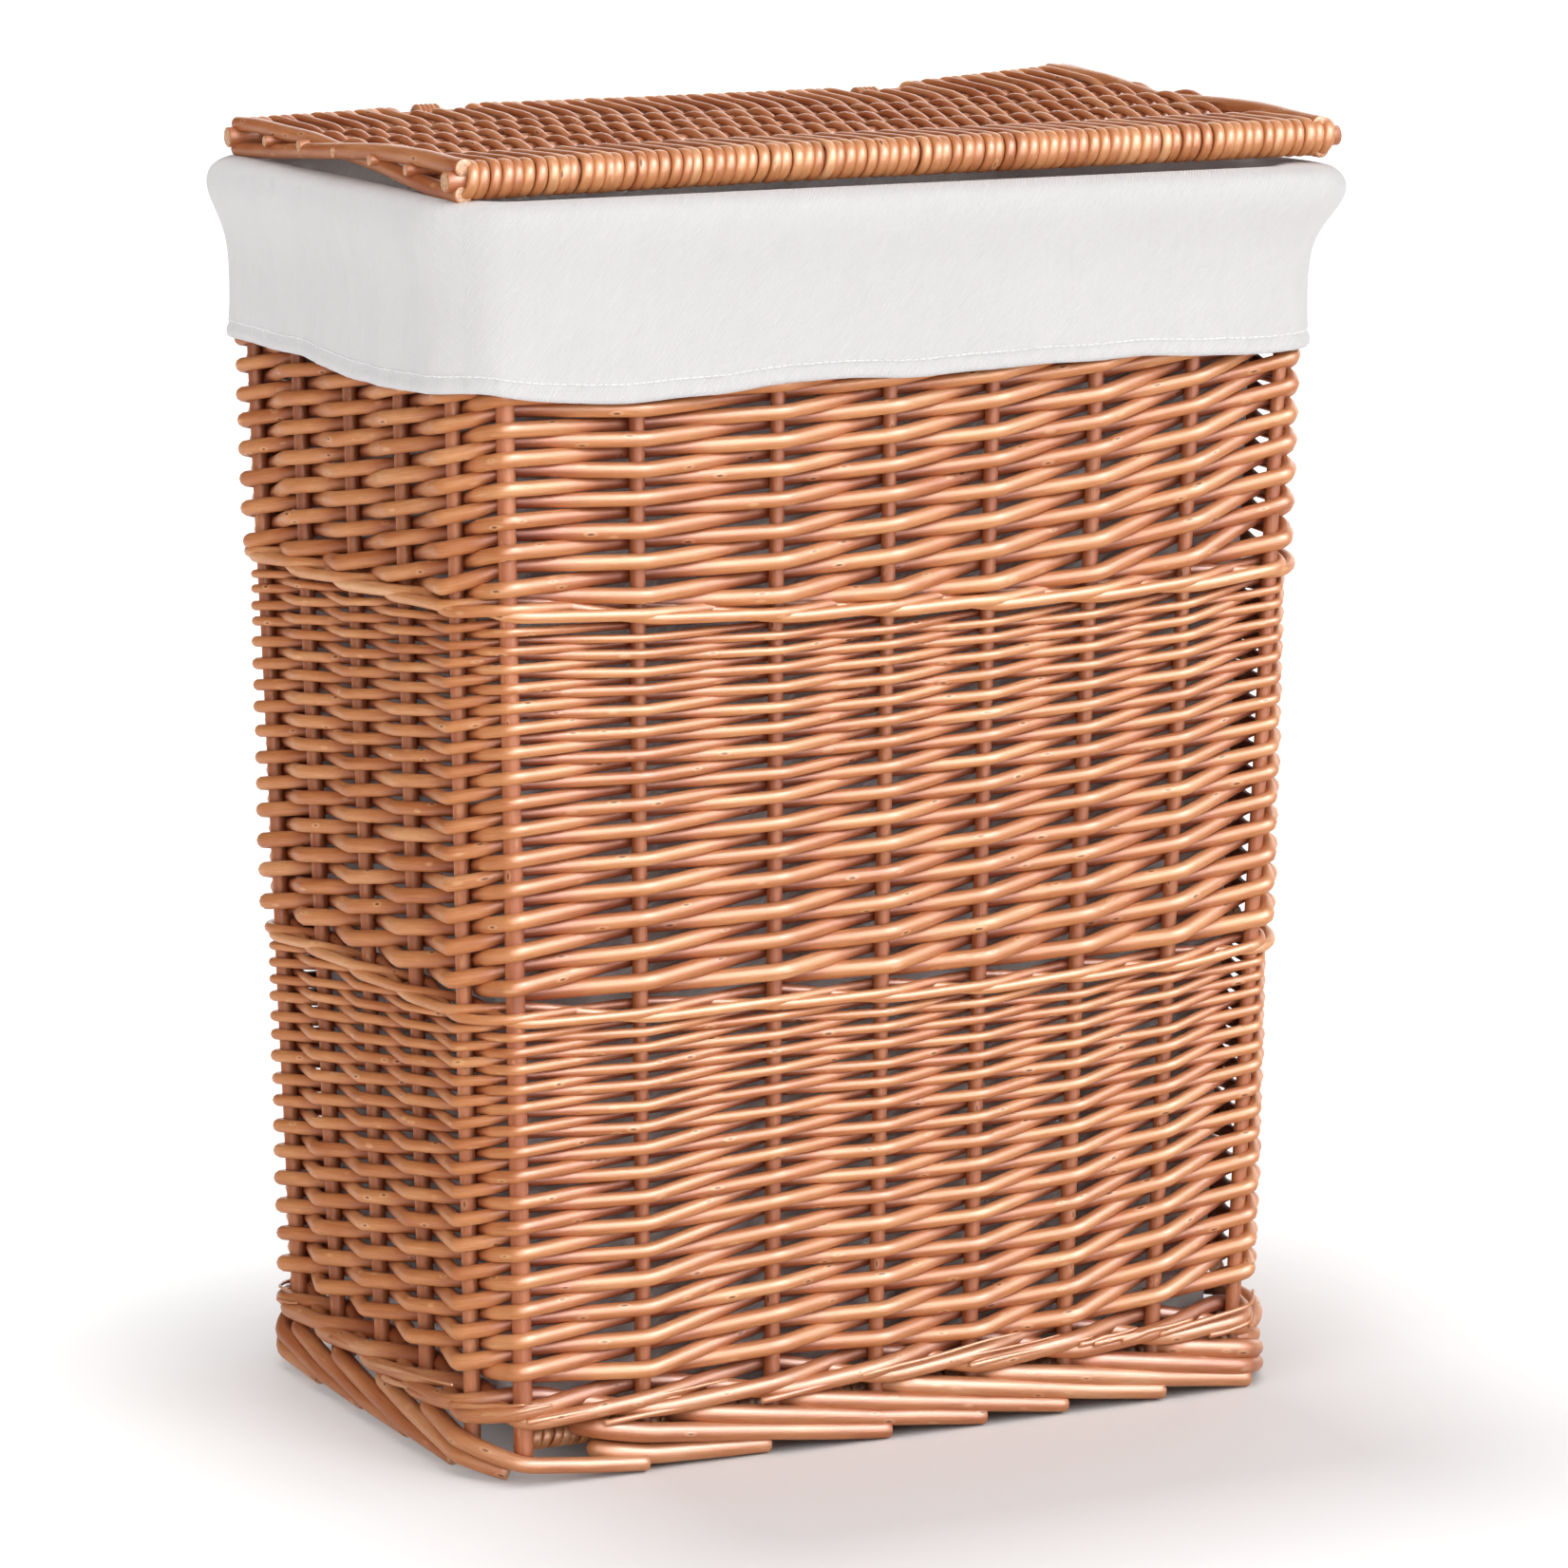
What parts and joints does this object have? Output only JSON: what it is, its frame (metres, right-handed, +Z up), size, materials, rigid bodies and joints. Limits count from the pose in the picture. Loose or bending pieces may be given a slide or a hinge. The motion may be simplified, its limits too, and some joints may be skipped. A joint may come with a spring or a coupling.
{
  "type": "woven laundry basket",
  "caption": "Tall rectangular willow laundry basket in slanted woven bands, with a hinged woven lid and a white fabric liner turned over the rim.",
  "frame": {"origin": "on the floor under the middle of the basket", "axes": "+X to the basket's right along its width, +Y to the back where the lid is hinged, +Z up"},
  "size_m": [0.4418, 0.3022, 0.5876],
  "materials": {
    "willow_weave": "satin varnish",
    "willow_stick": "satin varnish",
    "willow_border": "satin varnish",
    "liner_cotton": "fine cotton twill"
  },
  "bodies": {
    "basket": {"foot_border": "willow_border", "upsett_wale": "willow_border", "lower_weave_band": "willow_weave", "lower_wale": "willow_border", "middle_weave_band": "willow_weave", "upper_wale": "willow_border", "upper_weave_band": "willow_weave", "rim_border": "willow_border", "stake_front_1": "willow_stick", "stake_front_2": "willow_stick", "stake_front_3": "willow_stick", "stake_front_4": "willow_stick", "stake_front_5": "willow_stick", "stake_front_6": "willow_stick", "stake_front_7": "willow_stick", "stake_front_8": "willow_stick", "stake_back_1": "willow_stick", "stake_back_2": "willow_stick", "stake_back_3": "willow_stick", "stake_back_4": "willow_stick", "stake_back_5": "willow_stick", "stake_back_6": "willow_stick", "stake_back_7": "willow_stick", "stake_back_8": "willow_stick", "stake_left_1": "willow_stick", "stake_left_2": "willow_stick", "stake_left_3": "willow_stick", "stake_left_4": "willow_stick", "stake_left_5": "willow_stick", "stake_right_1": "willow_stick", "stake_right_2": "willow_stick", "stake_right_3": "willow_stick", "stake_right_4": "willow_stick", "stake_right_5": "willow_stick", "base_front_rod": "willow_stick", "base_back_rod": "willow_stick", "base_stick_front": "willow_stick", "base_stick_middle": "willow_stick", "base_stick_back": "willow_stick", "base_weave": "willow_weave", "liner_bag": "liner_cotton", "liner_cuff": "liner_cotton", "hinge_loop_left": "willow_border", "hinge_loop_right": "willow_border"},
    "lid": {"lid_front_rod": "willow_stick", "lid_back_rod": "willow_stick", "lid_stick_1": "willow_stick", "lid_stick_2": "willow_stick", "lid_stick_3": "willow_stick", "lid_stick_4": "willow_stick", "lid_stick_5": "willow_stick", "lid_end_rod_left_upper": "willow_border", "lid_end_rod_left_lower": "willow_border", "lid_end_rod_right_upper": "willow_border", "lid_end_rod_right_lower": "willow_border", "lid_weave": "willow_weave"}
  },
  "joints": [
    {"name": "lid_hinge", "type": "hinge", "parent": "basket", "child": "lid", "pos_m": [0, 0.124, 0.5775], "axis": [-1, 0, 0], "range_deg": [0, 105]}
  ]
}
